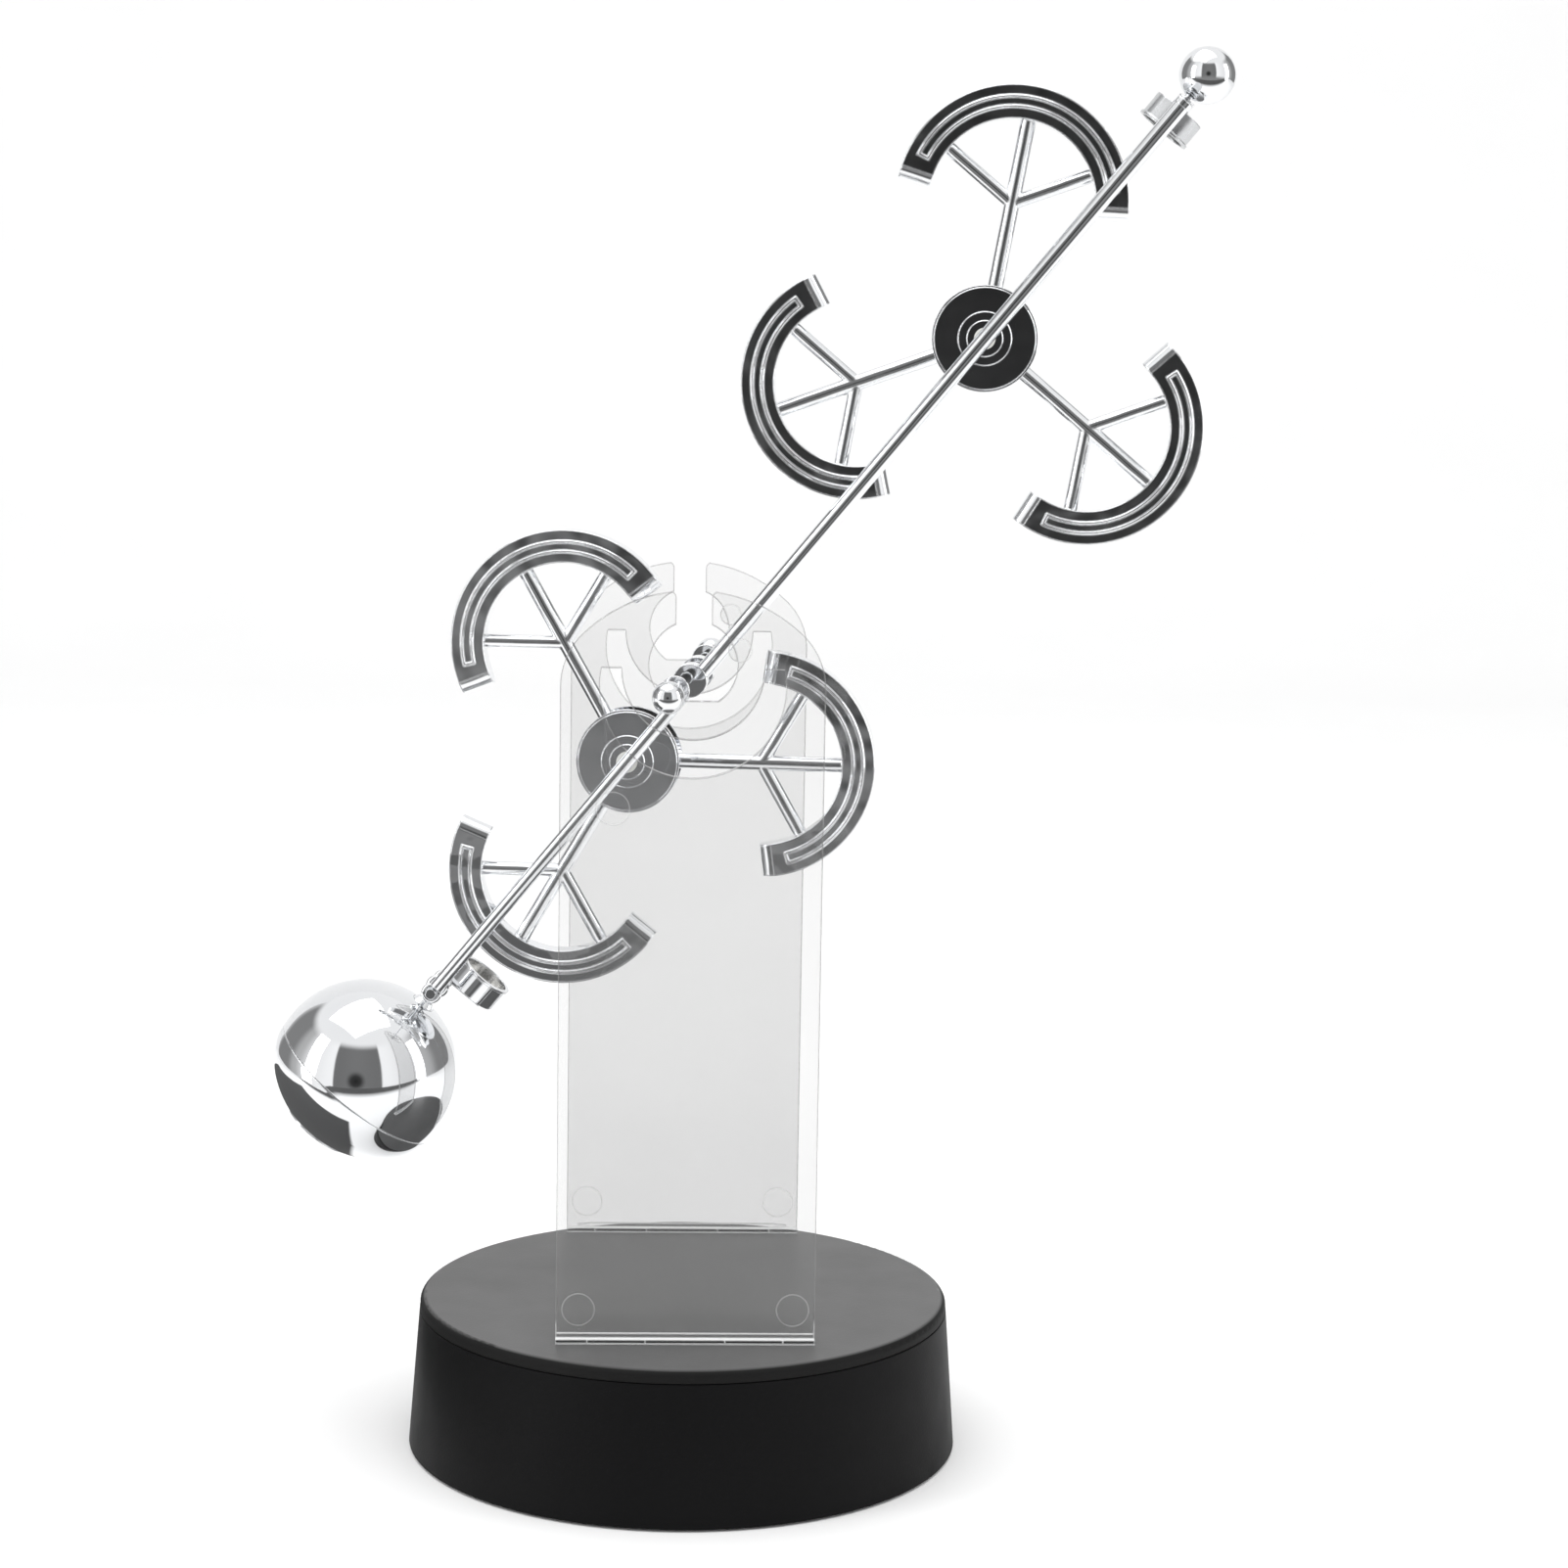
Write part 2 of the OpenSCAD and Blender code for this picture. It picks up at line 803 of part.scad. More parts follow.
module lower_rod(side) {
    u = side * rod_gap / 2;
    color("#c9ccd0")
        on_pendulum()
            difference() {
                union() {
                    translate([rod_side, u, -link_s + eye_ring_r])
                        cylinder(d = rod_lower_d, h = link_s - eye_ring_r - rod_start);
                    translate([rod_side, u, -link_s])
                        rotate([90, 0, 0])
                            rotate_extrude()
                                translate([eye_ring_r, 0])
                                    circle(r = eye_wire_r);
                }
                translate([rod_side, 0, -link_s])
                    rod_y(link_pin_r + running, -rod_gap, rod_gap);
                translate([rod_side, 0, -lower_hub])
                    rod_y(rotor_pin_r + press, -rotor_pin_half_l - press, rotor_pin_half_l + press);
            }
}

module front_pivot_block() { pivot_block(-1); }
module rear_pivot_block() { pivot_block(1); }
module front_axle_pin() { axle_pin(-1); }
module rear_axle_pin() { axle_pin(1); }
module front_axle_ball() { axle_ball(-1); }
module rear_axle_ball() { axle_ball(1); }
module front_upper_rod() { upper_rod(-1); }
module rear_upper_rod() { upper_rod(1); }
module front_lower_rod() { lower_rod(-1); }
module rear_lower_rod() { lower_rod(1); }

// Cross bar that caps the two rods, carries the upper cup below and the top ball above
module top_yoke() {
    half_w = rod_upper_d / 2 + 0.2;
    color("#c9ccd0")
        on_pendulum()
            translate([rod_side, 0, yoke_s])
                difference() {
                    union() {
                        translate([-half_w, -rod_gap / 2, 0])
                            cube([2 * half_w, rod_gap, yoke_t]);
                        for (side = [-1, 1])
                            translate([0, side * rod_gap / 2, 0])
                                cylinder(r = half_w, h = yoke_t);
                    }
                    for (side = [-1, 1])
                        translate([0, side * rod_gap / 2, -1])
                            cylinder(d = rod_upper_d + 2 * press, h = 1 + yoke_t / 2 + press);
                    translate([0, 0, -1])
                        cylinder(r = neck_r + press, h = 4);
                }
}

module top_neck() {
    color("#c9ccd0")
        on_pendulum()
            translate([rod_side, 0, yoke_s]) {
                cylinder(r = neck_r, h = top_reach - yoke_s - 2);
                translate([0, 0, yoke_t + press])
                    cylinder(r = bead_small_r, h = bead_small_h);
                translate([0, 0, yoke_t + bead_small_h])
                    cylinder(r = bead_large_r, h = bead_large_h);
            }
}

module top_ball() {
    color("#c9ccd0")
        on_pendulum()
            translate([rod_side, 0, top_reach])
                difference() {
                    sphere(d = top_ball_d);
                    translate([0, 0, -top_ball_d])
                        cylinder(r = neck_r + press, h = top_ball_d - 2 + press);
                }
}

// Cup about +Z whose open mouth is at z = 0 and whose floor is at z = cup_h
module cup() {
    difference() {
        union() {
            cylinder(r = cup_r, h = cup_h);
            cylinder(r = cup_r + 0.25, h = 0.5);
        }
        translate([0, 0, -1])
            cylinder(r = cup_r - cup_wall, h = cup_h - cup_wall + 1);
    }
}

module cup_magnet() {
    translate([0, 0, cup_h - cup_wall - press - cup_magnet_h])
        cylinder(r = cup_r - cup_wall - press, h = cup_magnet_h);
}

module at_upper_cup() {
    on_pendulum()
        translate([rod_side + upper_cup_side, 0, upper_cup_s - cup_h / 2])
            children();
}

module at_lower_cup() {
    on_pendulum()
        translate([rod_side + lower_cup_side, 0, -lower_cup_s + cup_h / 2])
            rotate([180, 0, 0])
                children();
}

// Cup with the short stalk that meets the yoke
module upper_cup() {
    stalk_top = yoke_s - upper_cup_s + cup_h / 2 - press;
    color("#c9ccd0")
        at_upper_cup()
            union() {
                cup();
                translate([-upper_cup_side, 0, cup_h - 0.1])
                    difference() {
                        cylinder(r = 1.6, h = stalk_top - cup_h + 0.1);
                        translate([0, 0, 0.3])
                            cylinder(r = neck_r + press, h = 4);
                    }
            }
}

module upper_cup_magnet() {
    color("#8f9296")
        at_upper_cup()
            cup_magnet();
}

// Flat strap between the rods that reaches out under the lower cup
module lower_bracket() {
    color("#c9ccd0")
        on_pendulum()
            translate([rod_side, 0, -lower_cup_s - cup_h / 2 - bracket_t - press])
                difference() {
                    union() {
                        translate([-1, -rod_gap / 2, 0])
                            cube([2.4, rod_gap, bracket_t]);
                        translate([0, -2, 0])
                            cube([lower_cup_side + 2.6, 4, bracket_t]);
                    }
                    for (side = [-1, 1])
                        translate([0, side * rod_gap / 2, -1])
                            cylinder(d = rod_lower_d + 2 * press, h = 3);
                }
}

module lower_cup() {
    color("#c9ccd0")
        at_lower_cup()
            cup();
}

module lower_cup_magnet() {
    color("#8f9296")
        at_lower_cup()
            cup_magnet();
}

module link_pin() {
    color("#d5d8dc")
        on_pendulum()
            translate([rod_side, 0, -link_s]) {
                rod_y(link_pin_r, -rod_gap / 2 - 1.1, rod_gap / 2 + 1.1);
                for (side = [-1, 1])
                    rotate([0, 0, side < 0 ? 180 : 0])
                        rod_y(1, rod_gap / 2 + 0.75, rod_gap / 2 + 1.3);
            }
}

// Wire loop round the link pin, with the stem that goes down into the ball
module ball_hook() {
    wire_r = hook_r - link_pin_r - running;
    stem_top = -hook_r + 0.3;
    stem_l = ball_reach - ball_r + 3 - link_s + stem_top;
    color("#d5d8dc")
        on_pendulum()
            translate([rod_side, 0, -link_s]) {
                rotate([90, 0, 0])
                    rotate_extrude()
                        translate([hook_r, 0])
                            circle(r = wire_r);
                translate([0, 0, stem_top - stem_l])
                    cylinder(r = stem_r, h = stem_l);
            }
}

module ball_collar() {
    color("#c9ccd0")
        on_pendulum()
            translate([rod_side, 0, -ball_reach + ball_r - 0.25])
                difference() {
                    cylinder(r1 = 2.2, r2 = 1.6, h = 1.1);
                    translate([0, 0, -1])
                        cylinder(r = stem_r + press, h = 4);
                }
}

// ---------------------------------------------------------------- drive ball

module on_ball() {
    on_pendulum()
        translate([rod_side, 0, -ball_reach])
            children();
}

module ball_upper_half() {
    color("#c9ccd0")
        on_ball()
            difference() {
                rotate_extrude()
                    intersection() {
                        difference() {
                            circle(r = ball_r);
                            circle(r = ball_r - ball_skin);
                        }
                        translate([0, -seam_drop + seam_gap])
                            square([ball_d, ball_d]);
                    }
                translate([0, 0, ball_r - 5])
                    cylinder(r = stem_r + press, h = 10);
                translate([0, 0, ball_r - 0.28])
                    cylinder(r = 2.3, h = 5);
            }
}

// Lower half, flattened so that it passes over the base, with a ring that holds the magnet
module ball_lower_half() {
    rim_r = sqrt(ball_r * ball_r - seam_drop * seam_drop);
    color("#c9ccd0")
        on_ball()
            translate([0, 0, -seam_drop]) {
                rotate_extrude()
                    intersection() {
                        mirror([0, 1])
                            difference() {
                                arch(rim_r, ball_flat - seam_drop, ball_shoulder_r);
                                arch(rim_r - ball_skin, ball_flat - seam_drop - ball_skin,
                                    ball_shoulder_r - ball_skin);
                            }
                        translate([0, -ball_d])
                            square([ball_d, ball_d]);
                    }
                translate([0, 0, -ball_flat + seam_drop + ball_skin - 0.4])
                    difference() {
                        cylinder(r = ball_magnet_r + 1, h = 3);
                        translate([0, 0, -1])
                            cylinder(r = ball_magnet_r + press, h = 6);
                    }
            }
}

module ball_magnet() {
    color("#8f9296")
        on_ball()
            translate([0, 0, -ball_flat + ball_skin + magnet_lift])
                cylinder(r = ball_magnet_r, h = ball_magnet_h);
}

// ---------------------------------------------------------------- rotors

module rotor_pin(s) {
    color("#d5d8dc")
        on_pendulum()
            translate([rod_side, 0, s])
                rod_y(rotor_pin_r, -rotor_pin_half_l, rotor_pin_half_l);
}

module upper_rotor_pin() { rotor_pin(upper_hub); }
module lower_rotor_pin() { rotor_pin(-lower_hub); }

module rotor_washers() {
    color("#d8d8d8")
        on_pendulum()
            for (s = [upper_hub, -lower_hub], side = [-1, 1])
                translate([rod_side, 0, s])
                    rotate([0, 0, side < 0 ? 180 : 0])
                        difference() {
                            rod_y(washer_r, hub_half_l + 0.08, hub_half_l + washer_t);
                            rod_y(rotor_pin_r + press, hub_half_l - 1, hub_half_l + 2);
                        }
}

// Rotor frame: X and Y in the plane of the rotor, Z towards the viewer
module on_rotor(s, turn) {
    on_pendulum()
        translate([rod_side, 0, s])
            rotate([90, 0, 0])
                rotate(turn)
                    children();
}

module at_arms() {
    for (arm = [0, 120, 240])
        rotate(arm)
            children();
}

// Raised outline on a crescent's face
module crescent_loop() {
    end_turn = loop_line / crescent_mid_r * 180 / PI;
    difference() {
        arc_band(crescent_mid_r, loop_w, loop_span);
        arc_band(crescent_mid_r, loop_w - 2 * loop_line, loop_span - end_turn);
    }
}

// Tip that rounds off a crescent's end from face to face
module crescent_tip() {
    translate([crescent_mid_r - crescent_w / 2 + end_step, 0, 0])
        rotate([0, 90, 0])
            cylinder(d = crescent_t - 2 * end_step, h = crescent_w - 2 * end_step);
}

module crescent() {
    difference() {
        union() {
            translate([0, 0, -crescent_t / 2])
                linear_extrude(crescent_t)
                    arc_band(crescent_mid_r, crescent_w, crescent_span);
            for (side = [-1, 1])
                rotate(side * crescent_span)
                    crescent_tip();
        }
        translate([crescent_mid_r, 0, -rotor_magnet_h / 2 - press])
            cylinder(r = rotor_magnet_r + press, h = rotor_magnet_h + 2 * press);
    }
    for (side = [0, 1])
        mirror([0, 0, side])
            translate([0, 0, crescent_t / 2])
                linear_extrude(loop_h)
                    crescent_loop();
}

module spoke(d, x0, x1) {
    translate([x0, 0, 0])
        rotate([0, 90, 0])
            cylinder(d = d, h = x1 - x0);
}

module rotor_frame(s, turn) {
    color("#c9ccd0")
        on_rotor(s, turn)
            difference() {
                union() {
                    translate([0, 0, -disc_back + press])
                        cylinder(r = hub_core_r, h = 2 * disc_back - 2 * press);
                    at_arms() {
                        spoke(spoke_d, hub_core_r - 1, branch_r + spoke_end_r);
                        translate([branch_r, 0, 0]) {
                            for (side = [-1, 1])
                                rotate(60 * side)
                                    spoke(spoke_d - 0.3, 0, spoke_end_r);
                            crescent();
                        }
                    }
                }
                translate([0, 0, -hub_half_l])
                    cylinder(r = rotor_pin_r + running, h = 2 * hub_half_l);
            }
}

// Dished disc with a raised ring and boss, on both faces of the hub
module hub_discs(s, turn) {
    color("#9a9da2")
        on_rotor(s, turn)
            for (side = [0, 1])
                mirror([0, 0, side])
                    difference() {
                        rotate_extrude() {
                            translate([0, disc_back])
                                square([hub_d / 2, disc_face - disc_back - 0.3]);
                            translate([0, disc_back])
                                square([hub_d / 2 - 0.4, disc_face - disc_back]);
                            translate([0, disc_back])
                                square([disc_ring_r, disc_face - disc_back + 0.35]);
                            translate([0, disc_back])
                                square([disc_boss_r, hub_half_l - disc_back]);
                        }
                        translate([0, 0, disc_back - 1])
                            cylinder(r = rotor_pin_r + running, h = hub_half_l);
                    }
}

module rotor_magnets(s, turn) {
    color("#8f9296")
        on_rotor(s, turn)
            at_arms()
                translate([branch_r + crescent_mid_r, 0, -rotor_magnet_h / 2])
                    cylinder(r = rotor_magnet_r, h = rotor_magnet_h);
}

module upper_rotor_frame() { rotor_frame(upper_hub, upper_turn); }
module upper_hub_discs() { hub_discs(upper_hub, upper_turn); }
module upper_rotor_magnets() { rotor_magnets(upper_hub, upper_turn); }
module lower_rotor_frame() { rotor_frame(-lower_hub, lower_turn); }
module lower_hub_discs() { hub_discs(-lower_hub, lower_turn); }
module lower_rotor_magnets() { rotor_magnets(-lower_hub, lower_turn); }

base_top();
base_wall();
bottom_cover();
cover_screws();
rubber_feet();
battery_door();
door_screw();
battery_1();
battery_2();
battery_3();
battery_4();
battery_springs();
battery_contacts();
battery_leads();
coil_bobbin();
coil_winding();
circuit_board();
board_screws();
drive_transistor();
capacitor();
resistor();
front_upright();
rear_upright();
front_pivot_block();
rear_pivot_block();
front_axle_pin();
rear_axle_pin();
axle_collars();
front_axle_ball();
rear_axle_ball();
front_upper_rod();
front_lower_rod();
rear_upper_rod();
rear_lower_rod();
top_yoke();
top_neck();
top_ball();
upper_cup();
upper_cup_magnet();
lower_bracket();
lower_cup();
lower_cup_magnet();
link_pin();
ball_hook();
ball_collar();
ball_upper_half();
ball_lower_half();
ball_magnet();
upper_rotor_pin();
lower_rotor_pin();
rotor_washers();
upper_rotor_frame();
upper_hub_discs();
upper_rotor_magnets();
lower_rotor_frame();
lower_hub_discs();
lower_rotor_magnets();
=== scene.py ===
import json
import math

import bpy
from mathutils import Matrix, Vector


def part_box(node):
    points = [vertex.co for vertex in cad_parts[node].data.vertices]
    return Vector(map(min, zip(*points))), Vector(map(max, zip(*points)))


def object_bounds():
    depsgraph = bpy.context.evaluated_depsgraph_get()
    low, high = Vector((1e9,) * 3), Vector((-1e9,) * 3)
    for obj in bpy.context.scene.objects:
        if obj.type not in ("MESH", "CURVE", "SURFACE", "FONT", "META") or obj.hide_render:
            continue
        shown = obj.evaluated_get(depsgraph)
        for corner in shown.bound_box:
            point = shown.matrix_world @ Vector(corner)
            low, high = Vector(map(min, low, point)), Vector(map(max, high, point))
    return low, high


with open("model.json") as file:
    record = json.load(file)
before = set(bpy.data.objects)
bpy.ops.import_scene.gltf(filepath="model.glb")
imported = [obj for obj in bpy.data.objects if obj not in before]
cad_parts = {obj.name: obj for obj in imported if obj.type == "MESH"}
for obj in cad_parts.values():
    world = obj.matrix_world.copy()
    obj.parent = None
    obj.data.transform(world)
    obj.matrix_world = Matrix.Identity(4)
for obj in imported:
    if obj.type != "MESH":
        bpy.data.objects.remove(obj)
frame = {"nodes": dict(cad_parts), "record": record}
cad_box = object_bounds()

# Looks for the pendulum desk toy: finishes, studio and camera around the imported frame.
# Lengths are in metres, noise scales in features per metre, and colours are linear RGB.
# The studio is laid out in multiples of size, the diagonal of the toy's box.

box_low, box_high = cad_box
size = (box_high - box_low).length
centre = (box_low + box_high) / 2
deck_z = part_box("base_top")[1].z

# ------------------------------------------------------------------ node helpers

NOISE_SPAN = (0.3, 0.7)
FULL_SPAN = (0.0, 1.0)
EVEN = (1.0, 1.0, 1.0)


def is_socket(value):
    return isinstance(value, bpy.types.NodeSocket)


def grey(level):
    return (level, level, level)


class Nodes:
    """A node tree built by short calls, in which any input takes a socket or a plain value."""

    def __init__(self, tree):
        self.tree = tree
        self.tree.nodes.clear()

    def node(self, kind, **properties):
        made = self.tree.nodes.new(kind)
        for key, value in properties.items():
            setattr(made, key, value)
        return made

    def feed(self, target, value):
        if is_socket(value):
            self.tree.links.new(value, target)
        else:
            target.default_value = value

    def put(self, made, **values):
        """Feeds a node's inputs by name, with underscores for spaces."""
        for key, value in values.items():
            self.feed(made.inputs[key.replace("_", " ")], value)
        return made

    def axis(self, letter, vector):
        return self.put(self.node("ShaderNodeSeparateXYZ"), Vector=vector).outputs[letter]

    def math(self, operation, *values):
        made = self.node("ShaderNodeMath", operation=operation)
        for target, value in zip(made.inputs, values):
            self.feed(target, value)
        return made.outputs["Value"]

    def mix(self, factor, first, second):
        """Blend from the first colour to the second, each a socket or an RGB triple."""
        made = self.put(self.node("ShaderNodeMix", data_type="RGBA"), Factor=factor)
        for name, colour in (("A", first), ("B", second)):
            self.feed(made.inputs[name], colour if is_socket(colour) else (*colour, 1.0))
        return made.outputs["Result"]

    def ramp(self, factor, stops):
        """Grey ramp through (position, brightness) stops."""
        made = self.put(self.node("ShaderNodeValToRGB"), Fac=factor)
        made.color_ramp.interpolation = "EASE"
        while len(made.color_ramp.elements) < len(stops):
            made.color_ramp.elements.new(0.5)
        for element, (position, level) in zip(made.color_ramp.elements, stops):
            element.position = position
            element.color = (*grey(level), 1.0)
        return made.outputs["Color"]


class Shader(Nodes):
    """A material with one principled shader."""

    def __init__(self, name):
        self.material = bpy.data.materials.new(name)
        self.material.use_nodes = True
        super().__init__(self.material.node_tree)
        self.principled = self.node("ShaderNodeBsdfPrincipled")
        self.put(self.node("ShaderNodeOutputMaterial"), Surface=self.principled.outputs["BSDF"])
        self.place = self.node("ShaderNodeTexCoord").outputs["Object"]

    def set(self, **values):
        self.put(self.principled, **values)

    def noise(self, scale, detail=3.0, stretch=EVEN):
        """Noise of so many features per metre, 0 to 1."""
        mapped = self.put(self.node("ShaderNodeMapping"), Vector=self.place, Scale=stretch)
        made = self.node("ShaderNodeTexNoise")
        self.put(made, Vector=mapped.outputs["Vector"], Scale=scale, Detail=detail)
        return made.outputs["Fac"]

    def between(self, value, first, last, span=NOISE_SPAN):
        """Goes from first to last as the value crosses the span."""
        start, end = span
        made = self.node("ShaderNodeMapRange")
        self.put(made, Value=value, From_Min=start, From_Max=end, To_Min=first, To_Max=last)
        return made.outputs["Result"]

    def rising(self, value, span):
        return self.between(value, 0.0, 1.0, span)

    def falling(self, value, span):
        return self.between(value, 1.0, 0.0, span)

    def roughen(self, scale, smooth, rough):
        """Roughness that drifts between two values in patches."""
        self.set(Roughness=self.between(self.noise(scale), smooth, rough))

    def rounded_normal(self, radius, samples):
        return self.put(self.node("ShaderNodeBevel", samples=samples), Radius=radius).outputs["Normal"]

    def bump(self, height, depth, edge=None):
        """Relief of the given depth; edge rounds the sharp edges by that radius."""
        made = self.put(self.node("ShaderNodeBump"), Height=height, Distance=depth)
        if edge:
            self.put(made, Normal=self.rounded_normal(edge, samples=6))
        self.set(Normal=made.outputs["Normal"])


# ------------------------------------------------------------------ finishes

# Plating.
HAZE_SCALE = 60.0
SMUDGE_SCALE = 240.0
RIPPLE_SCALE = 130.0
SMUDGE_SPREAD = 2.2

# Wire and sheet steel.
TINT_SCALE = 400.0
SCRATCH_SCALE = 900.0
SCRATCH_STRETCH = (1.0, 0.15, 1.0)
SCRATCH_DEPTH = 0.00001
STEEL_EDGE = 0.0001
STEEL_SMOOTH = 0.16
STEEL_ROUGH = 0.34
TINT_LOSS = 0.8

# Moulded plastic and rubber.
CLOUD_SCALE = 35.0
SHEEN_SCALE = 110.0
GRAIN_SCALE = 2600.0
GRAIN_DEPTH = 0.00002
MOULD_EDGE = 0.0004
SHEEN_DRIFT = 0.06


def plated(name, dark, light, roughness, ripple=0.00003, edge=0.0003):
    """Bright plating over moulded plastic: slow ripples, faint haze in patches, soft edges."""
    s = Shader(name)
    s.set(Base_Color=s.mix(s.noise(HAZE_SCALE), dark, light), Metallic=1.0)
    s.roughen(SMUDGE_SCALE, roughness, roughness * SMUDGE_SPREAD)
    s.bump(s.noise(RIPPLE_SCALE, detail=1.0), ripple, edge=edge)
    return s.material


def drawn_steel(name, tint):
    """Bright wire or sheet with fine lengthwise scratches."""
    s = Shader(name)
    s.set(Base_Color=s.mix(s.noise(TINT_SCALE), [c * TINT_LOSS for c in tint], tint), Metallic=1.0)
    scratches = s.noise(SCRATCH_SCALE, stretch=SCRATCH_STRETCH)
    s.set(Roughness=s.between(scratches, STEEL_SMOOTH, STEEL_ROUGH))
    s.bump(scratches, SCRATCH_DEPTH, edge=STEEL_EDGE)
    return s.material


def moulded(name, dark, light, roughness, grain=GRAIN_SCALE, depth=GRAIN_DEPTH, specular=0.5):
    """Moulded plastic or rubber: fine grain, cloudy sheen and slight colour drift."""
    s = Shader(name)
    s.set(Base_Color=s.mix(s.noise(CLOUD_SCALE), dark, light), Specular_IOR_Level=specular)
    s.roughen(SHEEN_SCALE, roughness * (1.0 - SHEEN_DRIFT), roughness * (1.0 + SHEEN_DRIFT))
    s.bump(s.noise(grain, detail=1.0), depth, edge=MOULD_EDGE)
    return s.material


# Clear uprights; the foot is their lowest part, just above the deck.
FOOT_TOP = deck_z + 0.004
# The height over which the painted glow at the foot fades out.
FOOT_GLOW_SPAN = (deck_z + 0.003, FOOT_TOP)
SHEET_EDGE = 0.0005
SHEET_GREY = grey(0.20)
# Painted shade: the cut edges are coloured a darker grey than the sheet.
EDGE_SHADE_GREY = grey(0.30)
# Painted glow: the cut edges at the foot are coloured near white and made more opaque, as if lit from within.
FOOT_GLOW_WHITE = (0.90, 0.91, 0.91)
EDGE_FALLOFF = 0.7
EDGE_ALPHA = 0.60
FOOT_GLOW_ALPHA = 0.85
MARK_DEPTH = 0.00004
MARK_ALPHA = 0.40
# Painted highlight: the rims of the moulding marks are coloured part way to the foot's near white.
MARK_HIGHLIGHT = 0.6
VEIL_THIN = 0.040
VEIL_THICK = 0.056
# Painted shade: the veil greys more towards the bottom of the sheet.
LOW_SHADE = 0.115
LOW_SHADE_SPAN = (0.05, 0.16)

# How squarely the upright's surface faces front or back, from a rounded edge to the flat sheet.
EDGE_SPAN = (0.72, 0.998)
MARK_SPAN = (0.97, 0.9995)


def front_face_y(node):
    """The upright's front face above its foot, where the moulding marks stand out."""
    corners = [corner.co for corner in frame["nodes"][node].data.vertices]
    return min(corner.y for corner in corners if corner.z > FOOT_TOP)


def sheet_lines(s, node):
    """Masks for the upright's cut edges, the part of them at its foot, which gets a painted glow, and the
    rims of its moulding marks, which get a painted highlight.
    """
    mark_y = front_face_y(node)
    facing = s.math("ABSOLUTE", s.axis("Y", s.rounded_normal(SHEET_EDGE, samples=8)))
    on_edge = s.math("POWER", s.falling(facing, EDGE_SPAN), EDGE_FALLOFF)
    foot_glow = s.math("MULTIPLY", on_edge, s.falling(s.axis("Z", s.place), FOOT_GLOW_SPAN))
    on_mark = s.falling(s.axis("Y", s.place), (mark_y + MARK_DEPTH, mark_y + 2 * MARK_DEPTH))
    mark_highlight = s.math("MULTIPLY", on_mark, s.falling(facing, MARK_SPAN))
    return on_edge, foot_glow, mark_highlight


def clear_plastic(name, node):
    """Clear sheet: a grey veil, greyer low down as painted shade, grey lines of painted shade along its cut
    edges, a painted glow at its foot and painted highlights on the rims of its moulding marks.
    """
    s = Shader(name)
    on_edge, foot_glow, mark_highlight = sheet_lines(s, node)
    # Painted shade: the veil greys more towards the bottom.
    low_shade = s.between(s.axis("Z", s.place), LOW_SHADE, 0.0, LOW_SHADE_SPAN)
    veil = s.math("ADD", s.between(s.noise(scale=18.0), VEIL_THIN, VEIL_THICK), low_shade)
    edge_line = s.math("MULTIPLY", on_edge, s.between(foot_glow, EDGE_ALPHA, FOOT_GLOW_ALPHA, FULL_SPAN))
    line = s.math("MAXIMUM", edge_line, s.math("MULTIPLY", mark_highlight, MARK_ALPHA))
    s.set(Alpha=s.math("MAXIMUM", veil, line))
    # Painted glow at the foot and painted highlights on the mark rims, over the painted shade grey of the cut
    # edges.
    painted_glow = s.math("MAXIMUM", foot_glow, s.math("MULTIPLY", mark_highlight, MARK_HIGHLIGHT))
    s.set(Base_Color=s.mix(painted_glow, s.mix(on_edge, SHEET_GREY, EDGE_SHADE_GREY), FOOT_GLOW_WHITE), IOR=1.5)
    s.roughen(scale=90.0, smooth=0.03, rough=0.08)
    s.bump(s.noise(scale=45.0, detail=1.0), depth=0.00002, edge=SHEET_EDGE)
    return s.material


DECK_BLACK = grey(0.004)
# Painted sheen: the grey of the flat top, and the least share of it that a patch keeps.
DECK_SHEEN_GREY = grey(0.092)
DECK_FLAT_SPAN = (0.80, 0.99)
LEAST_SHEEN = 0.86
DECK_SMOOTH = 0.34
DECK_ROUGH = 0.39
RIM_DULLNESS = 0.3


def deck_with_painted_sheen(name):
    """Black moulding, grey in patches where it lies flat as a painted sheen, and satin there, with a dull,
    dark rim.
    """
    s = Shader(name)
    upward = s.axis("Z", s.node("ShaderNodeNewGeometry").outputs["Normal"])
    on_flat = s.rising(upward, DECK_FLAT_SPAN)
    # Painted sheen: the flat top is coloured grey for the pale room it reflects at a grazing angle.
    painted_sheen = s.math("MULTIPLY", on_flat, s.between(s.noise(CLOUD_SCALE), LEAST_SHEEN, 1.0))
    worn = s.between(s.noise(SHEEN_SCALE), DECK_SMOOTH, DECK_ROUGH)
    dull = s.between(on_flat, RIM_DULLNESS, 0.0, FULL_SPAN)
    s.set(Base_Color=s.mix(painted_sheen, DECK_BLACK, DECK_SHEEN_GREY))
    s.set(Roughness=s.math("ADD", worn, dull), Specular_IOR_Level=0.2)
    s.bump(s.noise(GRAIN_SCALE, detail=1.0), GRAIN_DEPTH, edge=MOULD_EDGE)
    return s.material


COPPER_BAND = 0.0115
BAND_COLOUR = (0.62, 0.36, 0.12)
BAND_METAL = 0.9
SLEEVE_DARK = (0.03, 0.16, 0.08)
SLEEVE_LIGHT = (0.05, 0.24, 0.12)


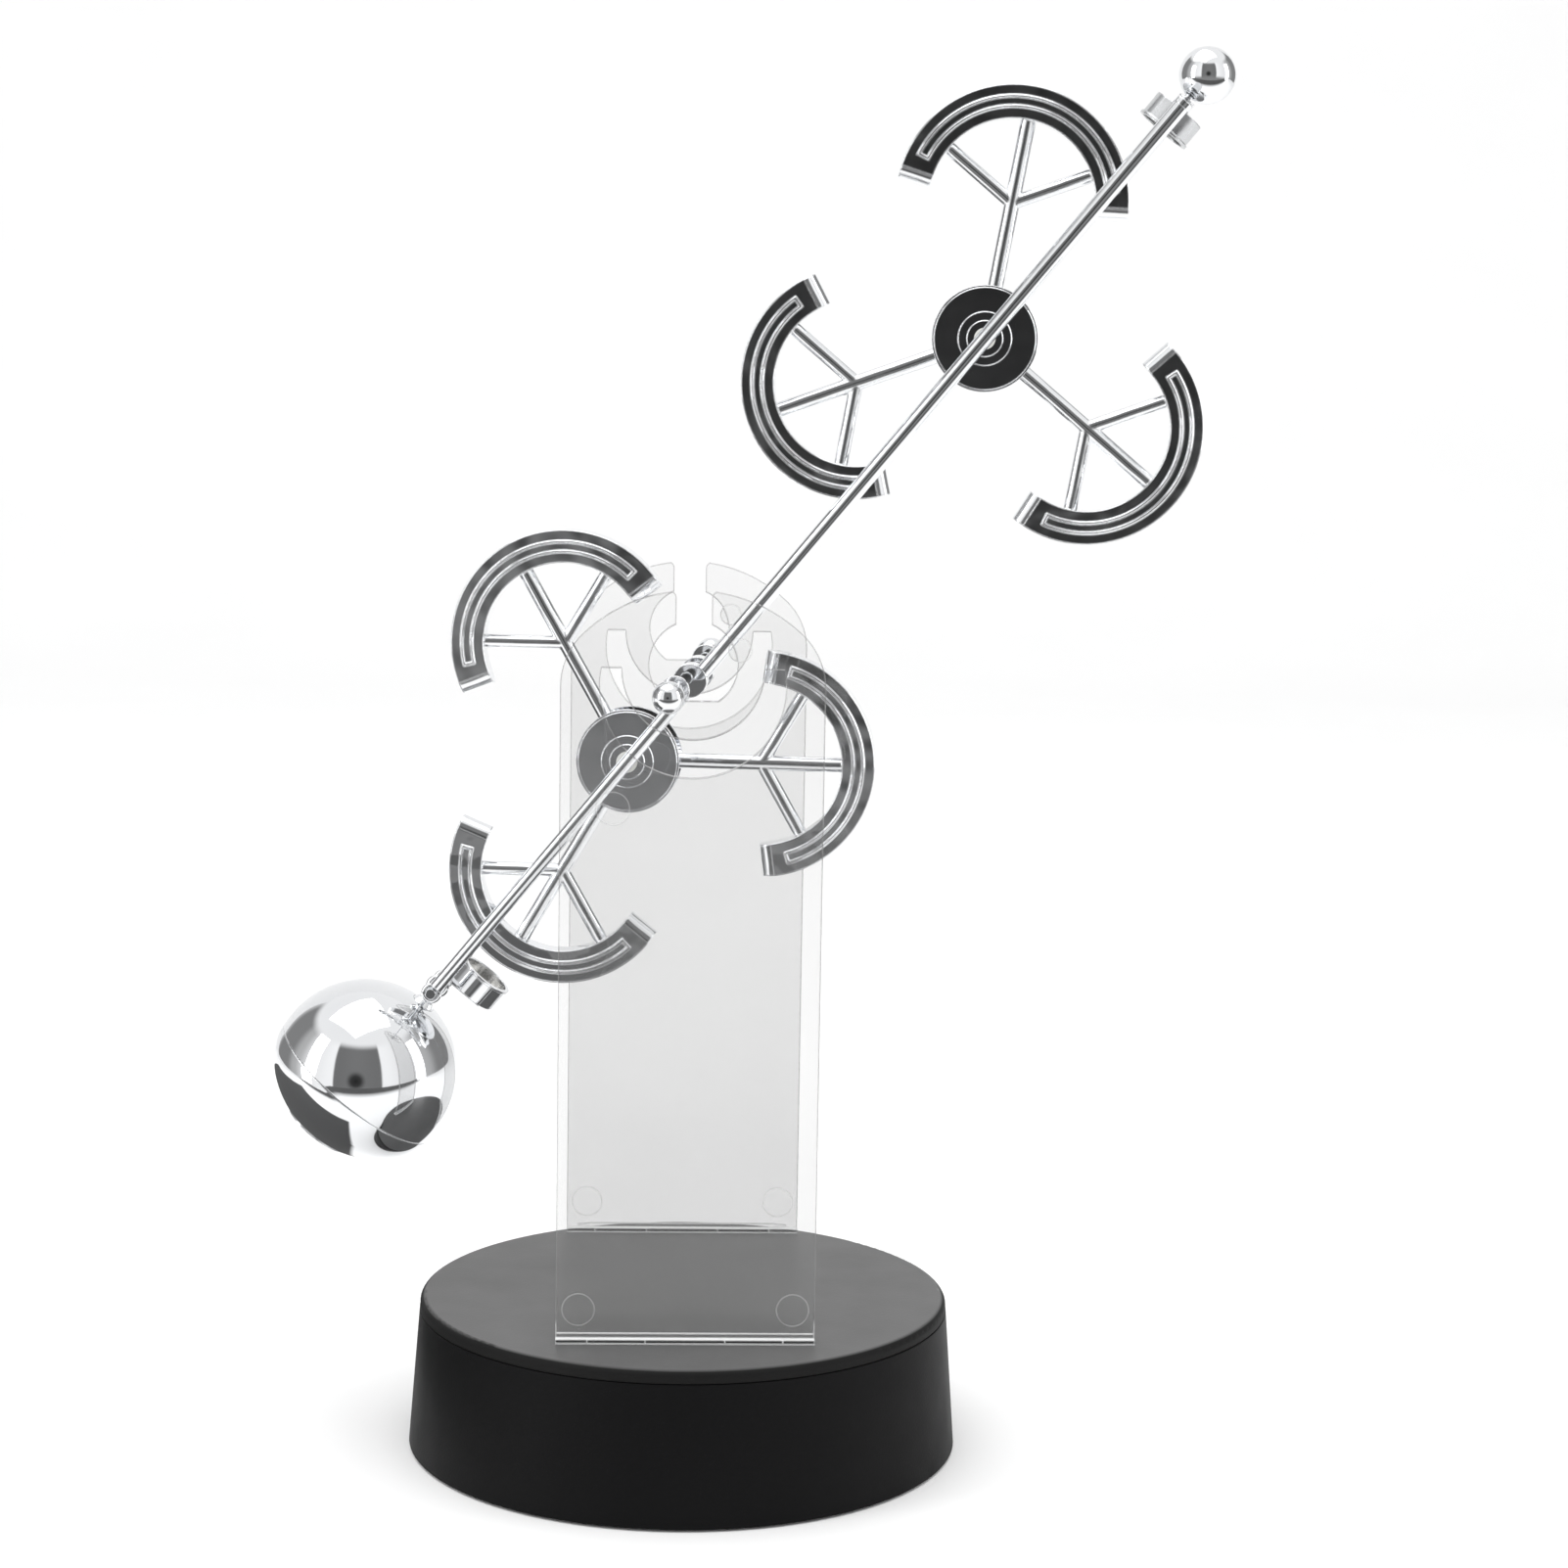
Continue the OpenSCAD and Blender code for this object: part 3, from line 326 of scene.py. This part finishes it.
def cell_sleeve(name):
    """Sleeve of a dry cell: a green body with scuffs and a copper band at one end, with no marking."""
    s = Shader(name)
    cell_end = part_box("battery_1")[1].y
    band = s.math("GREATER_THAN", s.axis("Y", s.place), cell_end - COPPER_BAND)
    scuffed = s.mix(s.noise(scale=300.0), SLEEVE_DARK, SLEEVE_LIGHT)
    s.set(Base_Color=s.mix(band, scuffed, BAND_COLOUR), Metallic=s.math("MULTIPLY", band, BAND_METAL))
    s.roughen(scale=120.0, smooth=0.22, rough=0.38)
    s.bump(s.noise(scale=700.0), depth=0.00001)
    return s.material


TURNS_SCALE = 900.0
WIRE_SHADOW = (0.30, 0.08, 0.02)
WIRE_CREST = (0.75, 0.30, 0.12)


def wound_copper(name):
    """Enamelled wire laid in even turns round the vertical axis of the coil."""
    s = Shader(name)
    wave = s.node("ShaderNodeTexWave", wave_type="BANDS", bands_direction="Z")
    s.put(wave, Vector=s.place, Scale=TURNS_SCALE, Distortion=1.5, Detail_Scale=2.0)
    turns = wave.outputs["Fac"]
    s.set(Base_Color=s.mix(turns, WIRE_SHADOW, WIRE_CREST), Metallic=0.85)
    s.roughen(scale=200.0, smooth=0.25, rough=0.4)
    s.bump(turns, depth=0.0001)
    return s.material


TRACK_SCALE = 160.0
TRACK_WIDTH = 0.03
MASK_GREEN = (0.012, 0.09, 0.035)
TRACK_GREEN = (0.05, 0.26, 0.10)


def solder_mask(name):
    """Board with copper tracks that show as slightly raised, lighter lines under the green mask."""
    s = Shader(name)
    lines = s.node("ShaderNodeTexBrick", offset=0.5)
    s.put(lines, Vector=s.place, Scale=TRACK_SCALE, Mortar_Size=TRACK_WIDTH)
    track = lines.outputs["Fac"]
    s.set(Base_Color=s.mix(track, MASK_GREEN, TRACK_GREEN), Coat_Weight=0.4)
    s.roughen(scale=150.0, smooth=0.25, rough=0.4)
    s.bump(track, depth=0.00004)
    return s.material


FINISHES = {
    "base_black": deck_with_painted_sheen("black_with_painted_sheen"),
    "cover_black": moulded(
        "textured_black", (0.014, 0.014, 0.015), (0.022, 0.022, 0.023),
        roughness=0.6, grain=1800.0, depth=0.00005,
    ),
    "foot_rubber": moulded("matt_rubber", grey(0.012), grey(0.030), roughness=0.85, depth=0.00004),
    "screw_steel": drawn_steel("zinc_screw", (0.55, 0.56, 0.58)),
    "cell_sleeve": cell_sleeve("cell_wrap"),
    "contact_steel": drawn_steel("spring_steel", (0.68, 0.68, 0.66)),
    "lead_insulation": moulded("red_insulation", (0.34, 0.012, 0.012), (0.48, 0.025, 0.02), roughness=0.4),
    "bobbin_plastic": moulded("natural_plastic", (0.66, 0.63, 0.54), (0.78, 0.75, 0.66), roughness=0.5),
    "copper_wire": wound_copper("enamelled_copper"),
    "board_green": solder_mask("solder_mask"),
    "component_black": moulded("component_black", grey(0.012), grey(0.024), roughness=0.5),
    "capacitor_blue": moulded("capacitor_sleeve", (0.012, 0.025, 0.16), (0.02, 0.045, 0.26), roughness=0.3),
    "resistor_body": moulded("resistor_lacquer", (0.50, 0.34, 0.18), (0.62, 0.45, 0.27), roughness=0.35),
    "clear_plastic": clear_plastic("clear_front", "front_upright"),
    "polished_chrome": plated("bright_chrome", (0.76, 0.77, 0.79), (0.86, 0.87, 0.88), roughness=0.03),
    "dark_chrome": plated(
        "mirror_disc", (0.74, 0.75, 0.77), (0.86, 0.87, 0.89), roughness=0.03, ripple=0.00008
    ),
    "pin_steel": drawn_steel("bright_pin", (0.70, 0.71, 0.73)),
    "washer_nylon": moulded("nylon", (0.72, 0.72, 0.69), (0.84, 0.84, 0.81), roughness=0.45),
    "magnet_nickel": drawn_steel("nickel_plate", (0.62, 0.60, 0.55)),
}

WALL_FINISH = moulded(
    "matt_black", (0.0035, 0.0035, 0.0038), (0.0055, 0.0055, 0.0058), roughness=0.5, specular=0.08
)
ROTOR_FINISH = plated(
    "moulded_chrome", (0.78, 0.79, 0.81), (0.88, 0.89, 0.90), roughness=0.03, ripple=0.0003, edge=0.0005
)

# Nodes whose look differs from the rest of their material slot.
OWN_FINISH = {
    "base_wall": WALL_FINISH,
    "rear_upright": clear_plastic("clear_rear", "rear_upright"),
    "upper_rotor_frame": ROTOR_FINISH,
    "lower_rotor_frame": ROTOR_FINISH,
    # Painted shade: the upper cup gets a darker copy of the chrome than the lower cup, and a rougher one.
    "upper_cup": plated("upper_cup_painted_shade", (0.50, 0.51, 0.52), (0.64, 0.65, 0.66), roughness=0.16),
}

for part in frame["record"]["subparts"]:
    shown = frame["nodes"][part["node"]]
    shown.data.materials.clear()
    shown.data.materials.append(OWN_FINISH.get(part["node"], FINISHES[part["material_slot"]]))

# ------------------------------------------------------------------ floor

FLOOR_Z = 0.0
FLOOR_FRONT = -1.7 * size
FLOOR_BACK = 4.0 * size
FLOOR_HALF = 5.0 * size
SWEEP_R = 1.5 * size
SWEEP_STEPS = 16
SWEEP_Y = FLOOR_BACK + SWEEP_R
WALL_TOP = 7.0 * size

PAPER_DARK = grey(0.93)
PAPER_LIGHT = grey(0.96)
# Painted reflection: a dark card on the floor and a shaded front part, which only polished surfaces show.
REFLECTED_CARD_GREY = grey(0.06)
CARD_RIGHT = box_low.x
CARD_LEFT = box_low.x - 0.9 * size
CARD_FRONT = box_low.y - 0.03 * size
CARD_BACK = box_high.y + 0.7 * size
CARD_BLUR = 0.01 * size
SHADE_SPAN = (box_low.y - 0.75 * size, box_low.y - 0.45 * size)


def sweep_profile():
    """Floor from front to back, then a quarter turn up into a wall, as (y, z) points."""
    points = [(FLOOR_FRONT, FLOOR_Z), (FLOOR_BACK, FLOOR_Z)]
    for k in range(1, SWEEP_STEPS + 1):
        turn = math.pi / 2 * k / SWEEP_STEPS
        points.append((FLOOR_BACK + SWEEP_R * math.sin(turn), FLOOR_Z + SWEEP_R * (1 - math.cos(turn))))
    points.append((SWEEP_Y, WALL_TOP))
    return points


def pale_floor(name):
    """Pale paper, open from below, with painted reflections: only polished surfaces find a dark card and a
    dark, shaded front part on it.
    """
    s = Shader(name)
    across = s.axis("X", s.place)
    along = s.axis("Y", s.place)
    reflected_card = s.falling(across, (CARD_RIGHT - CARD_BLUR, CARD_RIGHT))
    for inside in (
        s.rising(across, (CARD_LEFT, CARD_LEFT + CARD_BLUR)),
        s.rising(along, (CARD_FRONT, CARD_FRONT + CARD_BLUR)),
        s.falling(along, (CARD_BACK - CARD_BLUR, CARD_BACK)),
    ):
        reflected_card = s.math("MULTIPLY", reflected_card, inside)
    reflected_front_shade = s.falling(along, SHADE_SPAN)
    glossy = s.node("ShaderNodeLightPath").outputs["Is Glossy Ray"]
    # Painted reflection: glossy rays alone see the card and the shaded front as dark.
    painted_reflection = s.math("MULTIPLY", glossy, s.math("MAXIMUM", reflected_card, reflected_front_shade))
    paper = s.mix(s.noise(scale=9.0), PAPER_DARK, PAPER_LIGHT)
    from_below = s.node("ShaderNodeNewGeometry").outputs["Backfacing"]
    s.set(Base_Color=s.mix(painted_reflection, paper, REFLECTED_CARD_GREY), Roughness=0.9)
    s.set(Alpha=s.math("SUBTRACT", 1.0, from_below))
    return s.material


def make_backdrop():
    """The floor and the wall behind it, as one smooth strip."""
    profile = sweep_profile()
    corners = [(x, y, z) for y, z in profile for x in (-FLOOR_HALF, FLOOR_HALF)]
    faces = [(2 * k, 2 * k + 1, 2 * k + 3, 2 * k + 2) for k in range(len(profile) - 1)]
    mesh = bpy.data.meshes.new("backdrop")
    mesh.from_pydata(corners, [], faces)
    for face in mesh.polygons:
        face.use_smooth = True
    mesh.materials.append(pale_floor("pale_floor"))
    made = bpy.data.objects.new("backdrop", mesh)
    bpy.context.scene.collection.objects.link(made)


make_backdrop()

# ------------------------------------------------------------------ light

# Area lights: name, place from the toy's centre, width and height (all in toy sizes), and watts.
SOFTBOXES = [
    ("overhead", Vector((-0.3, -0.2, 2.6)), 2.4, 2.4, 3.0),
    ("left_box", Vector((-2.4, -1.0, 0.8)), 0.8, 2.2, 1.6),
    ("right_box", Vector((2.6, -0.6, 0.7)), 0.7, 2.2, 1.2),
]

ROOM_WHITE = 1.0
BELOW_GREY = 0.27
# The screen and the flags are centred this far left of straight ahead.
FLAG_SHIFT = 0.08
PHOTOGRAPHER = Vector((-0.10, -0.99, 0.03)).normalized()
PHOTOGRAPHER_GREY = 0.025

# Ramp stops as (position, value). The room's positions run by bearing from the front, 0, to the back, 1;
# by height from straight down, 0, to straight up, 1; and by angle from the photographer, 0, to behind, 1.
ROUND_STOPS = [
    (0.0, 0.21), (0.160, 0.19), (0.172, 1.1), (0.36, 0.95),
    (0.50, 0.50), (0.60, 0.25), (0.74, 0.25), (0.84, 1.0),
]
HEIGHT_STOPS = [(0.0, 0.0), (0.81, 0.0), (0.87, 1.0), (1.0, 1.0)]
BELOW_STOPS = [(0.0, 1.0), (0.36, 1.0), (0.47, 0.0), (1.0, 0.0)]
DARKNESS_STOPS = [(0.0, 1.0), (0.026, 0.92), (0.075, 0.0), (1.0, 0.0)]


def softbox(name, place, width, height, power):
    """Area light that faces the middle of the toy."""
    data = bpy.data.lights.new(name, "AREA")
    data.shape = "RECTANGLE"
    data.size = width * size
    data.size_y = height * size
    data.energy = power
    made = bpy.data.objects.new(name, data)
    made.location = centre + place * size
    made.rotation_euler = (-place).to_track_quat("-Z", "Y").to_euler()
    bpy.context.scene.collection.objects.link(made)


def mirrored_room(sky):
    """What polished surfaces find: a grey screen with the photographer in front, and side flags."""
    direction = sky.node("ShaderNodeTexCoord").outputs["Generated"]
    x, y, z = (sky.axis(letter, direction) for letter in "XYZ")
    bearing = sky.math("ARCTAN2", sky.math("ADD", x, FLAG_SHIFT), sky.math("MULTIPLY", y, -1.0))
    turn = sky.math("DIVIDE", sky.math("ABSOLUTE", bearing), math.pi)
    height = sky.math("ADD", sky.math("MULTIPLY", z, 0.5), 0.5)
    toward = sky.node("ShaderNodeVectorMath", operation="DOT_PRODUCT")
    for target, value in zip(toward.inputs, (direction, PHOTOGRAPHER)):
        sky.feed(target, value)
    off_axis = sky.math("DIVIDE", sky.math("ARCCOSINE", toward.outputs["Value"]), math.pi)

    room = sky.mix(sky.ramp(height, HEIGHT_STOPS), sky.ramp(turn, ROUND_STOPS), grey(ROOM_WHITE))
    room = sky.mix(sky.ramp(off_axis, DARKNESS_STOPS), room, grey(PHOTOGRAPHER_GREY))
    return sky.mix(sky.ramp(height, BELOW_STOPS), room, grey(BELOW_GREY))


def make_world():
    """Plain white room for everything but mirror reflections."""
    world = bpy.data.worlds.new("studio")
    world.use_nodes = True
    bpy.context.scene.world = world
    sky = Nodes(world.node_tree)
    glossy = sky.node("ShaderNodeLightPath").outputs["Is Glossy Ray"]
    seen = sky.mix(glossy, grey(ROOM_WHITE), mirrored_room(sky))
    light = sky.put(sky.node("ShaderNodeBackground"), Color=seen)
    sky.put(sky.node("ShaderNodeOutputWorld"), Surface=light.outputs["Background"])


make_world()
for box in SOFTBOXES:
    softbox(*box)

# ------------------------------------------------------------------ camera

CAMERA_PLACE = Vector((-0.0066, -0.585, 0.201))
CAMERA_PITCH = math.radians(-7.73)
CAMERA_YAW = math.radians(2.30)
CAMERA_ROLL = math.radians(0.949)
CAMERA_LENS = 75.44
SENSOR_WIDTH = 36.0
NEAREST = 0.01


def make_camera():
    """Camera at the photograph's place, turned by yaw, pitch and roll from straight ahead."""
    data = bpy.data.cameras.new("camera")
    data.sensor_width = SENSOR_WIDTH
    data.lens = CAMERA_LENS
    data.clip_start = NEAREST
    made = bpy.data.objects.new("camera", data)
    bpy.context.scene.collection.objects.link(made)
    forward = Vector((
        math.sin(CAMERA_YAW) * math.cos(CAMERA_PITCH),
        math.cos(CAMERA_YAW) * math.cos(CAMERA_PITCH),
        math.sin(CAMERA_PITCH),
    ))
    level = Vector((math.cos(CAMERA_YAW), -math.sin(CAMERA_YAW), 0.0))
    upward = level.cross(forward)
    right = math.cos(CAMERA_ROLL) * level + math.sin(CAMERA_ROLL) * upward
    up = math.cos(CAMERA_ROLL) * upward - math.sin(CAMERA_ROLL) * level
    turn = Matrix((right, up, -forward)).transposed().to_4x4()
    made.matrix_world = Matrix.Translation(CAMERA_PLACE) @ turn
    bpy.context.scene.camera = made


make_camera()
bpy.context.scene.view_settings.view_transform = "Standard"
